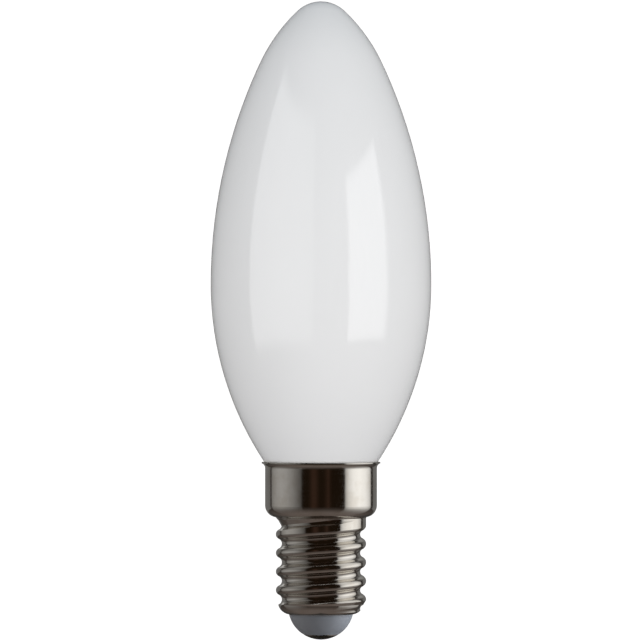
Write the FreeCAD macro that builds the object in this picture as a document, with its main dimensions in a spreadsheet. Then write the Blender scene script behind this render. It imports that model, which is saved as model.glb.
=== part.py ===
import FreeCAD, Part
import math
import os
import Sketcher

# A candle bulb with a small screw cap, in millimetres.
# The origin is the lowest point of the centre contact, and +Z runs up the bulb's axis to the glass tip.
# Every outline is drawn in the plane of X and Z, as half of a section, and is turned about Z.

SIZES = (
    ("overall_length", 97.0, "contact to glass tip"),
    ("belly_radius", 16.77, "glass at its widest"),
    ("belly_height", 53.95, "widest level above the contact"),
    ("shoulder_radius", 26.5, "arc of the glass below its tip"),
    ("shoulder_lead", 3.716, "degrees that the upper arc turns past the straight line from belly to tip"),
    ("tip_radius", 5.2, "rounding of the glass tip"),
    ("neck_blend", 2.0, "arc between the glass neck and the bulb"),
    ("neck_gap", 1.15, "room for cement between the neck and the skirt"),
    ("neck_round", 0.8, "rounding of the neck's lower edge"),
    ("rim_gap", 0.36, "between the glass and the top of the flared rim"),
    ("skirt_radius", 8.5, "outside of the plain skirt"),
    ("skirt_height", 7.45, "ledge to the start of the flare"),
    ("skirt_corner", 1.8, "drawn corner between the skirt and the ledge"),
    ("flare_radius", 0.75, "arc of the flared rim"),
    ("flare_angle", 74.0, "degrees that the rim is flared"),
    ("sheet", 0.2, "thickness of the drawn cap"),
    ("ledge_height", 18.55, "underside of the ledge above the contact"),
    ("ledge_fillet", 0.15, "inside corner between the ledge and the thread"),
    ("thread_radius", 6.85, "crest of the rolled thread"),
    ("thread_depth", 0.9, "crest to root"),
    ("thread_pitch", 2.822, "nine turns to the inch"),
    ("crest_land", 0.24, "width of the flat left on the crest"),
    ("thread_start", 1.2, "ledge down to the middle of the first full groove"),
    ("thread_fade", 0.4, "turns over which the groove runs out"),
    ("slope_drop", 1.48, "ledge down to the foot of the first groove's long upper flank"),
    ("slope_step", 0.12, "between the top of that flank and the crest"),
    ("end_height", 3.85, "lower end of the cap above the contact"),
    ("end_corner", 1.85, "rolled corner at the cap's lower end"),
    ("end_radius", 6.55, "outside of that rolled end"),
    ("end_rise", 1.6, "height of that end, up to where it swells to the crest"),
    ("end_swell", 0.5, "height of the swell"),
    ("end_lip", 0.8, "width of the turned-in lip that holds the insulator"),
    ("end_lip_height", 0.45, "height of that lip"),
    ("dome_clearance", 0.08, "insulator in the lip"),
    ("collar_clearance", 0.05, "insulator in the cap's bore"),
    ("collar_height", 3.0, "insulator above the lip"),
    ("contact_radius", 2.6, "edge of the centre contact"),
    ("contact_edge", 0.12, "height of the contact's edge"),
    ("shank_radius", 1.0, "shank of the contact"),
    ("shank_clearance", 0.03, "shank in the insulator"),
    ("shank_end", 0.6, "shank above the insulator"),
)

# Sizes that several pieces share, in the sheet's own terms.
ROOT = "(sizes.thread_radius - sizes.thread_depth)"
BORE = f"({ROOT} - sizes.sheet)"
OPENING = f"({BORE} - sizes.end_lip)"
DOME_EDGE = f"({OPENING} - sizes.dome_clearance)"
DOME = f"(({DOME_EDGE}^2 + sizes.end_height^2) / (2 * sizes.end_height))"
SEAT = "(sizes.ledge_height + sizes.sheet)"
FLARE_START = "(sizes.ledge_height + sizes.skirt_height)"
FLARE_OUTER = "(sizes.flare_radius + sizes.sheet)"
RIM_RADIUS = f"(sizes.skirt_radius + sizes.flare_radius - {FLARE_OUTER} * cos(sizes.flare_angle * 1 deg))"
RIM_HEIGHT = f"({FLARE_START} + {FLARE_OUTER} * sin(sizes.flare_angle * 1 deg))"
NECK = "(sizes.skirt_radius - sizes.sheet - sizes.neck_gap)"
LIP_TOP = "(sizes.end_height + sizes.end_lip_height)"
COLLAR_TOP = f"({LIP_TOP} + sizes.collar_height)"
CONTACT_TOP = f"({DOME} - sqrt({DOME}^2 - sizes.contact_radius^2) + sizes.contact_edge)"
FIRST_GROOVE = "(sizes.ledge_height - sizes.thread_start)"
SLOPE_FOOT = "(sizes.ledge_height - sizes.slope_drop)"
ABOVE_BELLY = "(sizes.overall_length - sizes.belly_height)"
SHOULDER_ANGLE = f"(atan(sizes.belly_radius / {ABOVE_BELLY}) + sizes.shoulder_lead * 1 deg)"

# A sketch's numbers for the ends and the centre of a line or an arc, and for its own axes.
START, END, CENTRE = range(1, 4)
AXES = {"across": -1, "up": -2}
ORIGIN = (AXES["across"], START)

doc = FreeCAD.newDocument("candle_bulb")
sheet = doc.addObject("Spreadsheet::Sheet", "sizes")
for row, (alias, size, note) in enumerate(SIZES, start=1):
    sheet.set(f"A{row}", note)
    sheet.set(f"B{row}", str(size))
    sheet.setAlias(f"B{row}", alias)
doc.recompute()


def value(expression):
    """The number that an expression of the sheet's sizes comes to."""
    result = sheet.evalExpression(expression)
    return float(getattr(result, "Value", result))


def new_body(label):
    body = doc.addObject("PartDesign::Body", label)
    body.Label = label
    return body


def new_outline(body, name):
    """An empty sketch in the body's own plane of X and Z."""
    outline = body.newObject("Sketcher::SketchObject", name)
    plane = next(f for f in body.Origin.OriginFeatures if f.Role == "XZ_Plane")
    outline.AttachmentSupport = [(plane, "")]
    outline.MapMode = "FlatFace"
    return outline


def point(across, up):
    return FreeCAD.Vector(across, up, 0)


def line(outline, start, end):
    return outline.addGeometry(Part.LineSegment(start, end))


def arc(outline, centre, radius, from_angle, to_angle):
    """An arc drawn anticlockwise, angles in degrees."""
    circle = Part.Circle(centre, FreeCAD.Vector(0, 0, 1), radius)
    return outline.addGeometry(Part.ArcOfCircle(circle, math.radians(from_angle), math.radians(to_angle)))


def bind(outline, name, expression, *constraint):
    """Adds a dimension, and ties it to the sheet."""
    index = outline.addConstraint(Sketcher.Constraint(*constraint, value(expression)))
    outline.renameConstraint(index, name)
    outline.setExpression(f"Constraints.{name}", expression)


def place(outline, name, geometry, end, across=None, up=None):
    """Dimensions one point of an outline from the axis and from the contact's level."""
    if across == "0":
        outline.addConstraint(Sketcher.Constraint("PointOnObject", geometry, end, AXES["up"]))
    elif across:
        bind(outline, f"{name}_across", across, "DistanceX", *ORIGIN, geometry, end)
    if up:
        bind(outline, f"{name}_up", up, "DistanceY", *ORIGIN, geometry, end)


def join(outline, first, first_end, second, second_end):
    outline.addConstraint(Sketcher.Constraint("Coincident", first, first_end, second, second_end))


def smooth(outline, first, first_end, second, second_end):
    outline.addConstraint(Sketcher.Constraint("Tangent", first, first_end, second, second_end))


def turn(body, outline, name):
    """Turns an outline once about Z."""
    turned = body.newObject("PartDesign::Revolution", name)
    turned.Profile = outline
    turned.ReferenceAxis = (outline, ["V_Axis"])
    turned.Angle = 360
    return turned


def blown_glass():
    """The sealed opal bulb: tip, shoulder, belly and the neck that stands on the cap's ledge."""
    body = new_body("glass_envelope")
    outline = new_outline(body, "glass_outline")
    belly, level = value("sizes.belly_radius"), value("sizes.belly_height")
    seat, neck, edge = value(SEAT), value(NECK), value("sizes.neck_round")

    # The lower arc leaves the belly upright and passes the rim of the cap at its named gap.
    rim = point(value(f"{RIM_RADIUS} - sizes.rim_gap"), value(RIM_HEIGHT))
    inward, down = belly - rim.x, level - rim.y
    lower = (inward**2 + down**2) / (2 * inward)
    blend = value("sizes.neck_blend")
    reach = neck + blend + lower - belly
    blend_level = level - math.sqrt((lower + blend) ** 2 - reach**2)
    blend_turn = math.degrees(math.acos(reach / (lower + blend)))

    # The upper arc's radius follows from the belly, the shoulder, the tip and the length.
    angle = math.radians(value(SHOULDER_ANGLE))
    shoulder, tip = value("sizes.shoulder_radius"), value("sizes.tip_radius")
    top = value("sizes.overall_length")
    across = belly - shoulder * math.cos(angle)
    rise = top - tip - level + shoulder * math.sin(angle)
    bend = 1 - math.cos(angle)
    half = across * bend + rise * math.sin(angle)
    excess = across**2 + rise**2 - (shoulder - tip) ** 2
    upper = (half - math.sqrt(half**2 - 2 * bend * excess)) / (2 * bend)
    shoulder_centre = point(across - bend * upper, level + (upper - shoulder) * math.sin(angle))
    tip_turn = math.degrees(math.atan2(top - tip - shoulder_centre.y, -shoulder_centre.x))
    turned = math.degrees(angle)

    base = line(outline, point(0, seat), point(neck - edge, seat))
    foot = arc(outline, point(neck - edge, seat + edge), edge, -90, 0)
    side = line(outline, point(neck, seat + edge), point(neck, blend_level))
    hollow = arc(outline, point(neck + blend, blend_level), blend, 180 - blend_turn, 180)
    below = arc(outline, point(belly - lower, level), lower, -blend_turn, 0)
    above = arc(outline, point(belly - upper, level), upper, 0, turned)
    crown = arc(outline, shoulder_centre, shoulder, turned, tip_turn)
    nose = arc(outline, point(0, top - tip), tip, tip_turn, 90)
    middle = line(outline, point(0, top), point(0, seat))
    mark = outline.addGeometry(Part.Point(rim), True)

    smooth(outline, base, END, foot, START)
    smooth(outline, foot, END, side, START)
    smooth(outline, side, END, hollow, END)
    smooth(outline, hollow, START, below, START)
    smooth(outline, below, END, above, START)
    smooth(outline, above, END, crown, START)
    smooth(outline, crown, END, nose, START)
    join(outline, nose, END, middle, START)
    join(outline, middle, END, base, START)
    outline.addConstraint(Sketcher.Constraint("Horizontal", base))
    outline.addConstraint(Sketcher.Constraint("Vertical", side))
    outline.addConstraint(Sketcher.Constraint("PointOnObject", mark, START, below))
    place(outline, "seat", base, START, "0", SEAT)
    place(outline, "neck", side, START, NECK)
    place(outline, "belly", below, END, "sizes.belly_radius", "sizes.belly_height")
    place(outline, "belly_centre", below, CENTRE, None, "sizes.belly_height")
    place(outline, "rim", mark, START, f"{RIM_RADIUS} - sizes.rim_gap", RIM_HEIGHT)
    place(outline, "nose_centre", nose, CENTRE, "0")
    place(outline, "top", nose, END, "0", "sizes.overall_length")
    bind(outline, "foot_radius", "sizes.neck_round", "Radius", foot)
    bind(outline, "hollow_radius", "sizes.neck_blend", "Radius", hollow)
    bind(outline, "shoulder_radius", "sizes.shoulder_radius", "Radius", crown)
    bind(outline, "tip_radius", "sizes.tip_radius", "Radius", nose)
    bind(outline, "shoulder_angle", SHOULDER_ANGLE, "Angle", above)
    turn(body, outline, "glass_turned")
    return body


def thread_sleeve(body):
    """The threaded part of the cap before its thread is rolled, with the lip that turns in below."""
    outline = new_outline(body, "sleeve_outline")
    crest, low, corner = value("sizes.thread_radius"), value("sizes.end_height"), value("sizes.end_corner")
    high, bore, opening, lip = value(SEAT), value(BORE), value(OPENING), value(LIP_TOP)
    rolled, rise = value("sizes.end_radius"), value("sizes.end_rise")
    full = low + rise + value("sizes.end_swell")
    curl_start = -math.degrees(math.acos((opening - rolled + corner) / corner))
    curl_end = math.degrees(math.asin((rise - corner) / corner))
    curl = arc(outline, point(rolled - corner, low + corner), corner, curl_start, curl_end)
    curl_side = rolled - corner + corner * math.cos(math.radians(curl_end))
    swell = line(outline, point(curl_side, low + rise), point(crest, full))
    wall = line(outline, point(crest, full), point(crest, high))
    top = line(outline, point(crest, high), point(bore, high))
    inside = line(outline, point(bore, high), point(bore, lip))
    shelf = line(outline, point(bore, lip), point(opening, lip))
    mouth = line(outline, point(opening, lip), point(opening, low))
    join(outline, curl, END, swell, START)
    join(outline, swell, END, wall, START)
    join(outline, wall, END, top, START)
    join(outline, top, END, inside, START)
    join(outline, inside, END, shelf, START)
    join(outline, shelf, END, mouth, START)
    join(outline, mouth, END, curl, START)
    outline.addConstraint(Sketcher.Constraint("Vertical", wall))
    place(outline, "crest", wall, END, "sizes.thread_radius", SEAT)
    place(outline, "bore", inside, START, BORE, SEAT)
    place(outline, "lip", shelf, START, BORE, LIP_TOP)
    place(outline, "mouth", mouth, START, OPENING, LIP_TOP)
    place(outline, "curl_start", curl, START, OPENING)
    place(outline, "curl_centre", curl, CENTRE, "sizes.end_radius - sizes.end_corner",
          "sizes.end_height + sizes.end_corner")
    place(outline, "curl_end", curl, END, None, "sizes.end_height + sizes.end_rise")
    place(outline, "swell", swell, END, None, "sizes.end_height + sizes.end_rise + sizes.end_swell")
    bind(outline, "end_corner", "sizes.end_corner", "Radius", curl)
    turn(body, outline, "sleeve_turned")


def groove_outline(body):
    """One groove of the rolled thread: three equal arcs, hollow at the root and round towards the crests."""
    outline = new_outline(body, "groove_outline")
    crest, depth = value("sizes.thread_radius"), value("sizes.thread_depth")
    pitch, level = value("sizes.thread_pitch"), value(FIRST_GROOVE)
    outside = value("sizes.thread_radius + sizes.thread_depth")
    knuckle = (pitch**2 / 4 + depth**2) / (4 * depth)
    half_width = (pitch - value("sizes.crest_land")) / 2
    flank = math.degrees(math.asin(pitch / 4 / knuckle))
    ends = math.degrees(math.asin(value("sizes.crest_land") / 2 / knuckle))
    inner = -(crest - knuckle)
    root = arc(outline, point(-(crest - depth + knuckle), level), knuckle, -flank, flank)
    upper = arc(outline, point(inner, level + pitch / 2), knuckle, 180 + ends, 180 + flank)
    lower = arc(outline, point(inner, level - pitch / 2), knuckle, 180 - flank, 180 - ends)
    top = line(outline, point(-crest, level + half_width), point(-outside, level + half_width))
    back = line(outline, point(-outside, level + half_width), point(-outside, level - half_width))
    bottom = line(outline, point(-outside, level - half_width), point(-crest, level - half_width))
    deepest = outline.addGeometry(Part.Point(point(depth - crest, level)), True)
    smooth(outline, root, END, upper, END)
    smooth(outline, root, START, lower, START)
    join(outline, upper, START, top, START)
    join(outline, top, END, back, START)
    join(outline, back, END, bottom, START)
    join(outline, bottom, END, lower, END)
    outline.addConstraint(Sketcher.Constraint("Horizontal", top))
    outline.addConstraint(Sketcher.Constraint("Horizontal", bottom))
    outline.addConstraint(Sketcher.Constraint("Vertical", back))
    outline.addConstraint(Sketcher.Constraint("Equal", root, upper))
    outline.addConstraint(Sketcher.Constraint("Equal", root, lower))
    outline.addConstraint(Sketcher.Constraint("PointOnObject", deepest, START, root))
    place(outline, "deepest", deepest, START, None, FIRST_GROOVE)
    place(outline, "root_centre", root, CENTRE, None, FIRST_GROOVE)
    place(outline, "upper_centre", upper, CENTRE, None, f"{FIRST_GROOVE} + sizes.thread_pitch / 2")
    place(outline, "lower_centre", lower, CENTRE, None, f"{FIRST_GROOVE} - sizes.thread_pitch / 2")
    land = "(sizes.thread_pitch - sizes.crest_land) / 2"
    place(outline, "upper_crest", upper, START, None, f"{FIRST_GROOVE} + {land}")
    place(outline, "lower_crest", lower, END, None, f"{FIRST_GROOVE} - {land}")
    bind(outline, "upper_reach", "sizes.thread_radius", "DistanceX", upper, START, *ORIGIN)
    bind(outline, "root_reach", ROOT, "DistanceX", deepest, START, *ORIGIN)
    bind(outline, "outside", "sizes.thread_radius + sizes.thread_depth", "DistanceX", back, START, *ORIGIN)
    return outline


def roll_thread(body):
    """The right-hand thread: its groove winds down past the lower end, and runs out below the ledge."""
    outline = groove_outline(body)
    groove = body.newObject("PartDesign::SubtractiveHelix", "thread_groove")
    groove.Profile = outline
    groove.ReferenceAxis = (outline, ["V_Axis"])
    groove.Mode = "pitch-turns-angle"
    groove.Reversed = True
    groove.setExpression("Pitch", "sizes.thread_pitch")
    groove.setExpression("Turns", f"({FIRST_GROOVE} - sizes.end_height) / sizes.thread_pitch + 0.5")
    doc.recompute()
    fade = body.newObject("PartDesign::SubtractiveHelix", "thread_run_out")
    fade.Profile = outline
    fade.ReferenceAxis = (outline, ["V_Axis"])
    fade.Mode = "height-turns-growth"
    fade.setExpression("Height", "sizes.thread_fade * sizes.thread_pitch")
    fade.setExpression("Turns", "sizes.thread_fade")
    fade.setExpression("Growth", "sizes.thread_depth / sizes.thread_fade")
    doc.recompute()


def slope_first_groove(body):
    """The long upper flank of the first groove, which slopes out to the ledge."""
    outline = new_outline(body, "slope_outline")
    bore, root, top = value(BORE), value(ROOT), value("sizes.thread_radius - sizes.slope_step")
    low, high = value(SLOPE_FOOT), value("sizes.ledge_height")
    foot = line(outline, point(bore, low), point(root, low))
    slope = line(outline, point(root, low), point(top, high))
    head = line(outline, point(top, high), point(bore, high))
    inside = line(outline, point(bore, high), point(bore, low))
    join(outline, foot, END, slope, START)
    join(outline, slope, END, head, START)
    join(outline, head, END, inside, START)
    join(outline, inside, END, foot, START)
    place(outline, "foot", foot, START, BORE, SLOPE_FOOT)
    place(outline, "slope_low", slope, START, ROOT, SLOPE_FOOT)
    place(outline, "slope_high", slope, END, "sizes.thread_radius - sizes.slope_step", "sizes.ledge_height")
    place(outline, "head", head, END, BORE, "sizes.ledge_height")
    turn(body, outline, "slope_turned")


def drawn_skirt(body):
    """The ledge, the rounded corner, the plain skirt and its flared rim, all of one thickness."""
    outline = new_outline(body, "skirt_outline")
    ledge, seat, fillet = value("sizes.ledge_height"), value(SEAT), value("sizes.ledge_fillet")
    crest, bore, skirt = value("sizes.thread_radius"), value(BORE), value("sizes.skirt_radius")
    corner, thick, start = value("sizes.skirt_corner"), value("sizes.sheet"), value(FLARE_START)
    flare, angle = value("sizes.flare_radius"), value("sizes.flare_angle")
    flare_centre = point(skirt + flare, start)
    corner_centre = point(skirt - corner, ledge + corner)
    hollow_across = crest + fillet - corner_centre.x
    foot_level = corner_centre.y - math.sqrt((corner + fillet) ** 2 - hollow_across**2)
    meeting = math.degrees(math.acos(hollow_across / (corner + fillet)))
    cut = FreeCAD.Vector(-math.cos(math.radians(angle)), math.sin(math.radians(angle)), 0)

    foot = line(outline, point(bore, foot_level), point(crest, foot_level))
    hollow = arc(outline, point(crest + fillet, foot_level), fillet, 180 - meeting, 180)
    outer_corner = arc(outline, corner_centre, corner, -meeting, 0)
    outer_wall = line(outline, point(skirt, ledge + corner), point(skirt, start))
    outer_flare = arc(outline, flare_centre, flare, 180 - angle, 180)
    rim = line(outline, flare_centre + cut * flare, flare_centre + cut * (flare + thick))
    inner_flare = arc(outline, flare_centre, flare + thick, 180 - angle, 180)
    inner_wall = line(outline, point(skirt - thick, start), point(skirt - thick, ledge + corner))
    inner_corner = arc(outline, corner_centre, corner - thick, -90, 0)
    shelf = line(outline, point(skirt - corner, seat), point(bore, seat))
    inside = line(outline, point(bore, seat), point(bore, foot_level))

    join(outline, foot, END, hollow, END)
    smooth(outline, hollow, START, outer_corner, START)
    smooth(outline, outer_corner, END, outer_wall, START)
    smooth(outline, outer_wall, END, outer_flare, END)
    join(outline, outer_flare, START, rim, START)
    join(outline, rim, END, inner_flare, START)
    smooth(outline, inner_flare, END, inner_wall, START)
    smooth(outline, inner_wall, END, inner_corner, END)
    smooth(outline, inner_corner, START, shelf, START)
    join(outline, shelf, END, inside, START)
    join(outline, inside, END, foot, START)
    join(outline, outer_flare, CENTRE, inner_flare, CENTRE)
    join(outline, outer_corner, CENTRE, inner_corner, CENTRE)
    outline.addConstraint(Sketcher.Constraint("Horizontal", foot))
    outline.addConstraint(Sketcher.Constraint("Horizontal", hollow, CENTRE, foot, END))
    outline.addConstraint(Sketcher.Constraint("Horizontal", shelf))
    outline.addConstraint(Sketcher.Constraint("Vertical", outer_wall))
    place(outline, "foot_inner", foot, START, BORE)
    place(outline, "foot_outer", foot, END, "sizes.thread_radius")
    bind(outline, "ledge_fillet", "sizes.ledge_fillet", "Radius", hollow)
    place(outline, "corner_centre", outer_corner, CENTRE, None, "sizes.ledge_height + sizes.skirt_corner")
    place(outline, "wall", outer_wall, END, "sizes.skirt_radius", FLARE_START)
    place(outline, "shelf", shelf, END, BORE, SEAT)
    place(outline, "inner_wall", inner_wall, START, "sizes.skirt_radius - sizes.sheet")
    bind(outline, "skirt_corner", "sizes.skirt_corner", "Radius", outer_corner)
    bind(outline, "flare_radius", "sizes.flare_radius", "Radius", outer_flare)
    bind(outline, "flare_angle", "sizes.flare_angle * 1 deg", "Angle", outer_flare)
    bind(outline, "inner_angle", "sizes.flare_angle * 1 deg", "Angle", inner_flare)
    turn(body, outline, "skirt_turned")


def drawn_cap():
    """The metal cap, one drawn and rolled piece."""
    body = new_body("cap_shell")
    thread_sleeve(body)
    doc.recompute()
    roll_thread(body)
    drawn_skirt(body)
    slope_first_groove(body)
    return body


def moulded_insulator():
    """The domed insulator, whose collar sits on the cap's lip and whose bore takes the contact's shank."""
    body = new_body("insulator")
    outline = new_outline(body, "insulator_outline")
    dome, hole = value(DOME), value("sizes.shank_radius + sizes.shank_clearance")
    land, low, lip = value(CONTACT_TOP), value("sizes.end_height"), value(LIP_TOP)
    high, edge, collar = value(COLLAR_TOP), value(DOME_EDGE), value(f"{BORE} - sizes.collar_clearance")
    land_edge = math.sqrt(dome**2 - (dome - land) ** 2)
    first = math.degrees(math.atan2(land - dome, land_edge))
    last = math.degrees(math.atan2(low - dome, edge))

    seat = line(outline, point(hole, land), point(land_edge, land))
    round_face = arc(outline, point(0, dome), dome, first, last)
    barrel = line(outline, point(edge, low), point(edge, lip))
    shoulder = line(outline, point(edge, lip), point(collar, lip))
    side = line(outline, point(collar, lip), point(collar, high))
    top = line(outline, point(collar, high), point(hole, high))
    bore = line(outline, point(hole, high), point(hole, land))
    join(outline, seat, END, round_face, START)
    join(outline, round_face, END, barrel, START)
    join(outline, barrel, END, shoulder, START)
    join(outline, shoulder, END, side, START)
    join(outline, side, END, top, START)
    join(outline, top, END, bore, START)
    join(outline, bore, END, seat, START)
    outline.addConstraint(Sketcher.Constraint("Horizontal", seat))
    hole_radius = "sizes.shank_radius + sizes.shank_clearance"
    place(outline, "seat", seat, START, hole_radius, CONTACT_TOP)
    place(outline, "dome_centre", round_face, CENTRE, "0", DOME)
    bind(outline, "dome_radius", DOME, "Radius", round_face)
    place(outline, "barrel_low", barrel, START, None, "sizes.end_height")
    place(outline, "barrel_top", barrel, END, DOME_EDGE, LIP_TOP)
    place(outline, "shoulder", shoulder, END, f"{BORE} - sizes.collar_clearance", LIP_TOP)
    place(outline, "side", side, END, f"{BORE} - sizes.collar_clearance", COLLAR_TOP)
    place(outline, "top", top, END, hole_radius, COLLAR_TOP)
    turn(body, outline, "insulator_turned")
    return body


def headed_contact():
    """The centre contact: a shallow domed head that carries on the insulator's sphere, and its shank."""
    body = new_body("centre_contact")
    outline = new_outline(body, "contact_outline")
    dome, edge, shank = value(DOME), value("sizes.contact_radius"), value("sizes.shank_radius")
    top, end = value(CONTACT_TOP), value(f"{COLLAR_TOP} + sizes.shank_end")
    low = top - value("sizes.contact_edge")
    last = math.degrees(math.atan2(low - dome, edge))
    face = arc(outline, point(0, dome), dome, -90, last)
    side = line(outline, point(edge, low), point(edge, top))
    under = line(outline, point(edge, top), point(shank, top))
    stem = line(outline, point(shank, top), point(shank, end))
    tail = line(outline, point(shank, end), point(0, end))
    middle = line(outline, point(0, end), point(0, 0))
    join(outline, face, END, side, START)
    join(outline, side, END, under, START)
    join(outline, under, END, stem, START)
    join(outline, stem, END, tail, START)
    join(outline, tail, END, middle, START)
    join(outline, middle, END, face, START)
    outline.addConstraint(Sketcher.Constraint("Vertical", side))
    outline.addConstraint(Sketcher.Constraint("Vertical", middle))
    place(outline, "dome_centre", face, CENTRE, "0", DOME)
    bind(outline, "dome_radius", DOME, "Radius", face)
    place(outline, "side", side, END, "sizes.contact_radius", CONTACT_TOP)
    place(outline, "under", under, END, "sizes.shank_radius", CONTACT_TOP)
    place(outline, "stem", stem, END, "sizes.shank_radius", f"{COLLAR_TOP} + sizes.shank_end")
    place(outline, "tail", tail, END, "0", f"{COLLAR_TOP} + sizes.shank_end")
    turn(body, outline, "contact_turned")
    return body


pieces = [blown_glass(), drawn_cap(), moulded_insulator(), headed_contact()]
doc.recompute()

for item in doc.Objects:
    if "Invalid" in item.State or "Error" in item.State:
        raise RuntimeError(f"{item.Label} failed: {item.State}")
for piece in pieces:
    if piece.Shape.isNull() or not piece.Shape.isValid() or len(piece.Shape.Solids) != 1:
        raise RuntimeError(f"{piece.Label} is not one valid solid")

os.makedirs("parts", exist_ok=True)
for piece in pieces:
    piece.Shape.exportStep(f"parts/{piece.Label}.step")
    box = piece.Shape.optimalBoundingBox()
    print(f"{piece.Label}: {piece.Shape.Volume:.1f} mm3, Z {box.ZMin:.2f} to {box.ZMax:.2f}")
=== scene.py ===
import math

import bpy
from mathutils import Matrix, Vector

# A candle bulb with a small screw cap, as a product photo on white shows it.
# Everything is in metres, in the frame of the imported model: +Z up the bulb, -Y towards the camera.
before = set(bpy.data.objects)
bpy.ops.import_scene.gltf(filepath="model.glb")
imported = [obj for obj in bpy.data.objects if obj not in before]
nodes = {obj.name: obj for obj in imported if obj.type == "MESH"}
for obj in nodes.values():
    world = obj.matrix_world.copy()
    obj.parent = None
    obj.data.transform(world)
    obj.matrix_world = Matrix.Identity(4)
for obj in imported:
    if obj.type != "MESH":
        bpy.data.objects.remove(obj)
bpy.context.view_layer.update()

MM = 0.001

# The photo's own frame. The bulb's axis and foot are at these pixels, and the scale comes from the cap's thread.
PHOTO_PIXELS = 640
AXIS_PIXEL = 321.0
FOOT_PIXEL = 639.2
MM_PER_PIXEL = 0.152

# The camera, in front of the bulb and a little above the cap's rim. AIM_DROP sets its aim to a part of a pixel.
CAMERA_DISTANCE = 0.5
CAMERA_HEIGHT = 0.038
AIM_DROP = 0.00004
SENSOR_MM = 36.0

# The places that the lamps face and are shaded from, and how far from them each kind of lamp is.
MIDDLE = Vector((0, 0, 0.05))
BELLY = Vector((0, 0, 0.054))
THREAD = Vector((0, 0, 0.015))
FOOT = Vector((0, 0, 0))
FILL_AWAY = 1.0
FOOT_AWAY = 0.6
GLASS_AWAY = 0.7
METAL_AWAY = 0.5
FAR_METAL_AWAY = 0.8

# Radiances, where 1 is white in the picture. The fill light comes from six sides, by azimuth.
FILL_LIGHT = {-150: 1.15, -90: 0.71, -30: 1.03, 30: 1.34, 90: 0.86, 150: 0.95}
FILL_TOP = 0.16
FILL_BOTTOM = 0.1
FOOT_RIGHT = 13.0
FOOT_LEFT = 3.6
GLASS_RIGHT = 2.3
GLASS_LEFT = 2.0
METAL_RIGHT = 1.4
METAL_LEFT = 0.52
METAL_BEHIND = 0.14
METAL_HIGH_LEFT = 0.75
METAL_HIGH_RIGHT = 0.26
METAL_FRONT = 0.036
FLOOR_GLOW = 1.1

# The fill light's extent in degrees: half of a side's width, and where the sides end below and above.
FILL_HALF = 30
FILL_LOW = -45
FILL_HIGH = 50

# The lamps' colours, and those of the room that the bulb mirrors.
WHITE = (1, 1, 1)
COOL = (0.5, 0.97, 1.4)
FAINTLY_COOL = (0.93, 1, 1.07)
WARM = (1, 0.5, 0.36)
ROOM_IN_FRONT = (0.013, 0.0075, 0.004, 1)
ROOM_BEHIND = (0.045, 0.043, 0.04, 1)
TABLE_GLOW = (0.15, 0.123, 0.112, 1)


def set_camera():
    """A camera a little above the cap's rim, as the photo shows it, aimed at the middle of the photo's frame."""
    photo = PHOTO_PIXELS * MM_PER_PIXEL * MM
    aside = (PHOTO_PIXELS / 2 - AXIS_PIXEL) * MM_PER_PIXEL * MM
    middle = Vector((aside, 0, (FOOT_PIXEL - PHOTO_PIXELS / 2) * MM_PER_PIXEL * MM - AIM_DROP))
    place = Vector((aside, -CAMERA_DISTANCE, CAMERA_HEIGHT))
    sight = middle - place
    lens = bpy.data.cameras.new("camera")
    lens.sensor_width = SENSOR_MM
    lens.lens = SENSOR_MM * sight.length / photo
    camera = bpy.data.objects.new("camera", lens)
    camera.location = place
    camera.rotation_euler = sight.to_track_quat("-Z", "Y").to_euler()
    bpy.context.scene.collection.objects.link(camera)
    bpy.context.scene.camera = camera


class Tree:
    """Short names for the few node kinds that the materials, lamps and surround use."""

    def __init__(self, tree):
        self.tree = tree

    def node(self, kind, **settings):
        made = self.tree.nodes.new(kind)
        for name, setting in settings.items():
            setattr(made, name, setting)
        return made

    def set(self, node, name, given):
        if isinstance(given, bpy.types.NodeSocket):
            self.tree.links.new(given, node.inputs[name])
        else:
            node.inputs[name].default_value = given

    def math(self, operation, first, second=0.0):
        node = self.node("ShaderNodeMath", operation=operation)
        self.set(node, 0, first)
        self.set(node, 1, second)
        return node.outputs[0]

    def ramp(self, given, low, high, to_low=0.0, to_high=1.0, smooth=True):
        """Maps low..high to to_low..to_high, with soft or straight sides."""
        kind = "SMOOTHSTEP" if smooth else "LINEAR"
        node = self.node("ShaderNodeMapRange", interpolation_type=kind)
        self.set(node, "Value", given)
        for name, number in (("From Min", low), ("From Max", high), ("To Min", to_low), ("To Max", to_high)):
            self.set(node, name, number)
        return node.outputs["Result"]

    def blend(self, share, first, second):
        node = self.node("ShaderNodeMix", data_type="RGBA")
        self.set(node, "Factor", share)
        for name, given in ((6, first), (7, second)):
            self.set(node, name, given)
        return node.outputs[2]

    def place(self, stretch):
        """The point's place in the frame, in metres, stretched."""
        where = self.node("ShaderNodeTexCoord")
        mapping = self.node("ShaderNodeMapping")
        self.set(mapping, "Vector", where.outputs["Object"])
        self.set(mapping, "Scale", stretch)
        return mapping.outputs["Vector"]

    def noise(self, feature_mm, detail, stretch=(1, 1, 1)):
        """Noise whose features are about feature_mm wide."""
        node = self.node("ShaderNodeTexNoise")
        self.set(node, "Vector", self.place(stretch))
        self.set(node, "Scale", 1 / (feature_mm * MM))
        self.set(node, "Detail", detail)
        return node.outputs["Fac"]

    def bump(self, height, depth_mm, below=None):
        node = self.node("ShaderNodeBump")
        self.set(node, "Strength", 1.0)
        self.set(node, "Distance", depth_mm * MM)
        self.set(node, "Height", height)
        if below is not None:
            self.set(node, "Normal", below)
        return node.outputs["Normal"]


def new_material(name):
    material = bpy.data.materials.new(name)
    material.use_nodes = True
    return Tree(material.node_tree), material.node_tree.nodes["Principled BSDF"], material


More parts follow.
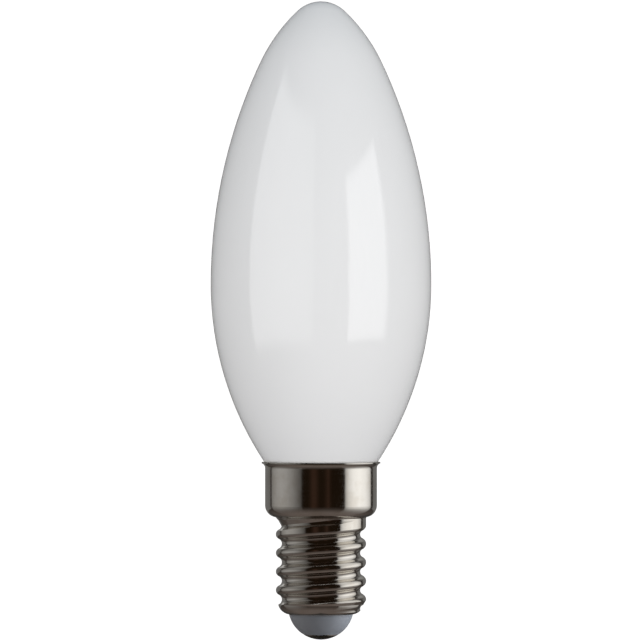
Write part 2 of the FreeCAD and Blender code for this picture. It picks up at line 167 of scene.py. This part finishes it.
def opal_glass():
    """Glossy white glass with a faint haze and the shallow waves that blowing leaves."""
    tree, shader, material = new_material("opal_glass")
    haze = tree.noise(9.0, detail=3.0)
    tree.set(shader, "Base Color", tree.blend(haze, (0.80, 0.803, 0.806, 1), (0.82, 0.823, 0.826, 1)))
    tree.set(shader, "Roughness", tree.ramp(tree.noise(2.0, detail=4.0), 0.3, 0.7, 0.05, 0.075))
    tree.set(shader, "IOR", 1.5)
    waves = tree.bump(tree.noise(11.0, detail=1.0, stretch=(1, 1, 0.5)), 0.02)
    tree.set(shader, "Normal", tree.bump(tree.noise(0.35, detail=2.0), 0.0002, waves))
    return material


def nickel_plate():
    """Bright plate with a faint stain, fine rings from drawing and rolling, and shallow dents."""
    tree, shader, material = new_material("nickel_plate")
    stain = tree.ramp(tree.noise(2.2, detail=4.0), 0.35, 0.7)
    tree.set(shader, "Base Color", tree.blend(stain, (0.66, 0.635, 0.59, 1), (0.60, 0.565, 0.51, 1)))
    tree.set(shader, "Metallic", 1.0)
    rings = tree.noise(0.5, detail=3.0, stretch=(0.12, 0.12, 2.0))
    tree.set(shader, "Roughness", tree.ramp(rings, 0.3, 0.7, 0.09, 0.14))
    dents = tree.bump(tree.noise(1.6, detail=2.0), 0.006)
    tree.set(shader, "Normal", tree.bump(rings, 0.0006, dents))
    return material


def insulator_moulding():
    """A glossy blue-grey moulding, slightly clouded."""
    tree, shader, material = new_material("insulator_moulding")
    cloud = tree.noise(1.5, detail=3.0)
    tree.set(shader, "Base Color", tree.blend(cloud, (0.07, 0.072, 0.078, 1), (0.076, 0.078, 0.084, 1)))
    tree.set(shader, "Roughness", tree.ramp(tree.noise(0.6, detail=3.0), 0.3, 0.7, 0.28, 0.32))
    tree.set(shader, "Normal", tree.bump(tree.noise(0.9, detail=3.0), 0.0002))
    return material


def contact_metal():
    """Dull metal with darker worn patches."""
    tree, shader, material = new_material("contact_metal")
    wear = tree.ramp(tree.noise(0.8, detail=4.0), 0.4, 0.65)
    tree.set(shader, "Base Color", tree.blend(wear, (0.2, 0.18, 0.15, 1), (0.13, 0.11, 0.085, 1)))
    tree.set(shader, "Metallic", 1.0)
    tree.set(shader, "Roughness", tree.ramp(tree.noise(0.3, detail=4.0), 0.3, 0.7, 0.22, 0.4))
    tree.set(shader, "Normal", tree.bump(tree.noise(0.25, detail=3.0), 0.003))
    return material


def dress():
    """Gives each CAD node the finish of its material slot."""
    finishes = {"glass_envelope": opal_glass, "cap_shell": nickel_plate,
                "insulator": insulator_moulding, "centre_contact": contact_metal}
    for name, finish in finishes.items():
        nodes[name].data.materials.clear()
        nodes[name].data.materials.append(finish())


def group(name, members):
    """A set of nodes that a lamp may be kept to."""
    found = bpy.data.collections.new(name)
    for member in members:
        found.objects.link(nodes[member])
    return found


def ahead(azimuth, elevation):
    """The direction at these angles in degrees. Azimuth 0 is the camera's side, and 90 the right."""
    azimuth, elevation = math.radians(azimuth), math.radians(elevation)
    return Vector((math.sin(azimuth) * math.cos(elevation), -math.cos(azimuth) * math.cos(elevation),
                   math.sin(elevation)))


def angles(tree, direction):
    """The azimuth and elevation of a direction, in degrees, as sockets."""
    parts = tree.node("ShaderNodeSeparateXYZ")
    tree.set(parts, "Vector", direction)
    across, away, up = parts.outputs
    level = tree.math("SQRT", tree.math("ADD", tree.math("MULTIPLY", across, across),
                                        tree.math("MULTIPLY", away, away)))
    azimuth = tree.math("ARCTAN2", across, tree.math("MULTIPLY", away, -1.0))
    elevation = tree.math("ARCTAN2", up, level)
    return tree.math("DEGREES", azimuth), tree.math("DEGREES", elevation)


def level_at(tree, angle, stops):
    """A level that follows these (angle, level) stops, with levels from 0 to 1."""
    first, last = stops[0][0], stops[-1][0]
    share = tree.ramp(angle, first, last, smooth=False)
    node = tree.node("ShaderNodeValToRGB")
    tree.set(node, "Fac", share)
    elements = node.color_ramp.elements
    while len(elements) < len(stops):
        elements.new(0.5)
    for element, (at, level) in zip(elements, stops):
        element.position = (at - first) / (last - first)
        element.color = (level, level, level, 1)
    return node.outputs["Color"]


def shade_lamp(source, seen_from, across, upward, lean):
    """Shades a lamp by the azimuth and elevation that each of its points is seen at."""
    source.use_nodes = True
    tree = Tree(source.node_tree)
    place = tree.node("ShaderNodeNewGeometry")
    offset = tree.node("ShaderNodeVectorMath", operation="SUBTRACT")
    tree.set(offset, 0, place.outputs["Position"])
    tree.set(offset, 1, seen_from)
    azimuth, elevation = angles(tree, offset.outputs["Vector"])
    climbed = tree.math("SUBTRACT", elevation, tree.math("MULTIPLY", azimuth, lean))
    level = tree.math("MULTIPLY", level_at(tree, azimuth, across), level_at(tree, climbed, upward))
    tree.set(source.node_tree.nodes["Emission"], "Strength", level)


def softbox(name, azimuths, elevations, away, light, receivers, aim, shines=False, tint=WHITE,
            across=None, upward=None, lean=0.0):
    """A lamp that faces aim and covers these angles as seen from there. light is its radiance.
    It either only shines, so that gloss mirrors it, or only fills. Only its receivers are lit.
    across and upward are its stops by azimuth and elevation, and lean is how far those of the
    elevation climb for each degree of azimuth."""
    outward = ahead(sum(azimuths) / 2, sum(elevations) / 2)
    width, height = (2 * away * math.tan(math.radians(high - low) / 2) for low, high in (azimuths, elevations))
    source = bpy.data.lights.new(name, "AREA")
    source.shape = "RECTANGLE"
    source.size, source.size_y = width, height
    source.energy = light * math.pi * width * height
    source.color = tint
    if across is not None:
        shade_lamp(source, aim, across, upward, lean)
    box = bpy.data.objects.new(name, source)
    box.location = aim + outward * away
    box.rotation_euler = outward.to_track_quat("Z", "Y").to_euler()
    box.visible_camera = False
    box.visible_glossy = shines
    box.visible_diffuse = not shines
    box.light_linking.receiver_collection = receivers
    bpy.context.scene.collection.objects.link(box)


def fill_bulb():
    """Fill light all round the bulb, and two stronger lamps for the dark insulator."""
    bulb = group("lit_bulb", nodes)
    for azimuth, light in FILL_LIGHT.items():
        softbox(f"fill_{azimuth}", (azimuth - FILL_HALF, azimuth + FILL_HALF), (FILL_LOW, FILL_HIGH),
                FILL_AWAY, light, bulb, MIDDLE)
    softbox("fill_top", (-40, 40), (50, 130), FILL_AWAY, FILL_TOP, bulb, MIDDLE, tint=COOL)
    softbox("fill_bottom", (-40, 40), (-130, -50), FILL_AWAY, FILL_BOTTOM, bulb, MIDDLE, tint=COOL)
    foot = group("lit_foot", ["insulator"])
    softbox("foot_right", (60, 120), (-30, 30), FOOT_AWAY, FOOT_RIGHT, foot, FOOT, tint=FAINTLY_COOL)
    softbox("foot_left", (-120, -60), (-30, 30), FOOT_AWAY, FOOT_LEFT, foot, FOOT)


def shine_on_glass():
    """The two softboxes that the glass mirrors: an even one at the right, and one that fades at the left."""
    glass = group("lit_glass", ["glass_envelope"])
    softbox("glass_right", (26, 84), (-26, 46), GLASS_AWAY, GLASS_RIGHT, glass, BELLY, shines=True, lean=0.1,
            across=[(27, 0), (30.5, 1), (69.5, 1), (75.5, 0)],
            upward=[(-23.6, 0), (-21.4, 1), (21.6, 1), (23.8, 0)])
    softbox("glass_left", (-92, -5), (-36, 66), GLASS_AWAY, GLASS_LEFT, glass, BELLY, shines=True, lean=-0.051,
            across=[(-79.5, 0), (-77.5, 0.85), (-62, 0.8), (-43, 0.7), (-22, 0.48), (-10, 0.33), (-6.5, 0)],
            upward=[(-24, 0), (-19, 1), (37.6, 1), (42, 0)])


def shine_on_metal():
    """The softboxes that the cap, insulator and contact mirror."""
    metal = group("lit_metal", ["cap_shell", "insulator", "centre_contact"])

    # The large ones at the sides give the skirt's and the crests' broad highlights. They fade out below.
    softbox("metal_right", (44, 132), (-72, 76), METAL_AWAY, METAL_RIGHT, metal, THREAD, shines=True,
            across=[(49.5, 0), (51.5, 0.4), (58, 0.7), (70, 0.92), (86, 1), (105, 0.88), (118, 0.62),
                    (122, 0.45), (125, 0)],
            upward=[(-70, 0), (-57, 0.02), (-45, 0.06), (-34, 0.14), (-23, 0.3), (-12, 0.62), (-4, 0.94),
                    (4, 1), (10, 0.95), (24, 0.7), (58, 0.6), (68, 0.3), (74, 0)])
    softbox("metal_left", (-130, -34), (-72, 76), METAL_AWAY, METAL_LEFT, metal, THREAD, shines=True,
            across=[(-124, 0), (-120, 0.6), (-112, 0.77), (-102, 0.93), (-90, 1), (-76, 0.91), (-61, 0.65),
                    (-47, 0.34), (-41.5, 0.2), (-38.5, 0)],
            upward=[(-70, 0), (-57, 0.02), (-45, 0.05), (-34, 0.12), (-23, 0.25), (-12, 0.5), (-2, 0.8),
                    (6, 0.84), (18, 0.5), (62, 0.45), (70, 0.2), (73, 0)])

    # Dim ones behind light the skirt's edges, and higher ones there the rim and the crests' ends.
    behind_left, behind_right = (-178, -128), (134, 178)
    for side, azimuths in (("left", behind_left), ("right", behind_right)):
        softbox(f"metal_behind_{side}", azimuths, (-14, 16), FAR_METAL_AWAY, METAL_BEHIND, metal, THREAD,
                shines=True)
    high = (14, 48)
    high_stops = [(14, 0.2), (20, 1), (44, 1), (48, 0)]
    softbox("metal_high_left", behind_left, high, FAR_METAL_AWAY, METAL_HIGH_LEFT, metal, THREAD, shines=True,
            across=[(-180, 1), (-158, 1), (-149, 0.2), (-128, 0.06)], upward=high_stops)
    softbox("metal_high_right", behind_right, high, FAR_METAL_AWAY, METAL_HIGH_RIGHT, metal, THREAD, shines=True,
            across=[(134, 0.2), (147, 0.4), (158, 1), (180, 1)], upward=high_stops)

    # A faint warm one in front gives the skirt's dark middle its two brown streaks.
    softbox("metal_front", (-30, 27), (-30, 30), FAR_METAL_AWAY, METAL_FRONT, metal, THREAD, shines=True, tint=WARM,
            across=[(-27, 0), (-22, 0.25), (-17, 0.8), (-12, 0.8), (-7, 0.35), (-3, 0.05), (5, 0.05),
                    (11, 0.4), (15, 0.85), (19, 0.2), (24, 0)],
            upward=[(-20, 0), (-8, 1), (1, 1), (8, 0)])


def surround():
    """The dim room that the bulb mirrors: black in front, grey behind, a brown table glow below."""
    world = bpy.data.worlds.new("room")
    bpy.context.scene.world = world
    world.use_nodes = True
    tree = Tree(world.node_tree)
    where = tree.node("ShaderNodeTexCoord")
    azimuth, elevation = angles(tree, where.outputs["Generated"])
    aside = tree.math("ABSOLUTE", azimuth)
    room = tree.blend(tree.ramp(aside, 110, 150), ROOM_IN_FRONT, ROOM_BEHIND)
    below = tree.math("MULTIPLY", tree.ramp(elevation, -8, -58, smooth=False), tree.ramp(aside, 175, 140))
    tree.set(world.node_tree.nodes["Background"], "Color", tree.blend(below, room, TABLE_GLOW))


def set_stage():
    """A pale floor that rises to a wall all round, which only the camera sees."""
    radius, height, hub, rings, steps = 1.6, 3.0, 0.01, 24, 96
    vertices, faces = [(0, 0, 0)], []
    for ring in range(rings + 1):
        share = ring / rings
        reach = max(radius * min(1, share * 2), hub)
        lift = height * max(0, share * 2 - 1) ** 2
        for step in range(steps):
            turn = 2 * math.pi * step / steps
            vertices.append((reach * math.cos(turn), reach * math.sin(turn), lift))
    for step in range(steps):
        faces.append((0, 1 + step, 1 + (step + 1) % steps))
    for ring in range(rings):
        for step in range(steps):
            low, high = 1 + ring * steps, 1 + (ring + 1) * steps
            after = (step + 1) % steps
            faces.append((low + step, high + step, high + after, low + after))
    mesh = bpy.data.meshes.new("floor")
    mesh.from_pydata(vertices, [], faces)
    floor = bpy.data.objects.new("floor", mesh)
    bpy.context.scene.collection.objects.link(floor)
    tree, shader, material = new_material("floor")
    tree.set(shader, "Base Color", (0.9, 0.9, 0.9, 1))
    tree.set(shader, "Roughness", 0.9)
    tree.set(shader, "Specular IOR Level", 0.0)
    tree.set(shader, "Emission Color", (1, 1, 1, 1))
    tree.set(shader, "Emission Strength", FLOOR_GLOW)
    mesh.materials.append(material)
    floor.visible_diffuse = floor.visible_glossy = floor.visible_shadow = False


bpy.context.scene.view_settings.view_transform = "Standard"
set_camera()
surround()
dress()
fill_bulb()
shine_on_glass()
shine_on_metal()
set_stage()
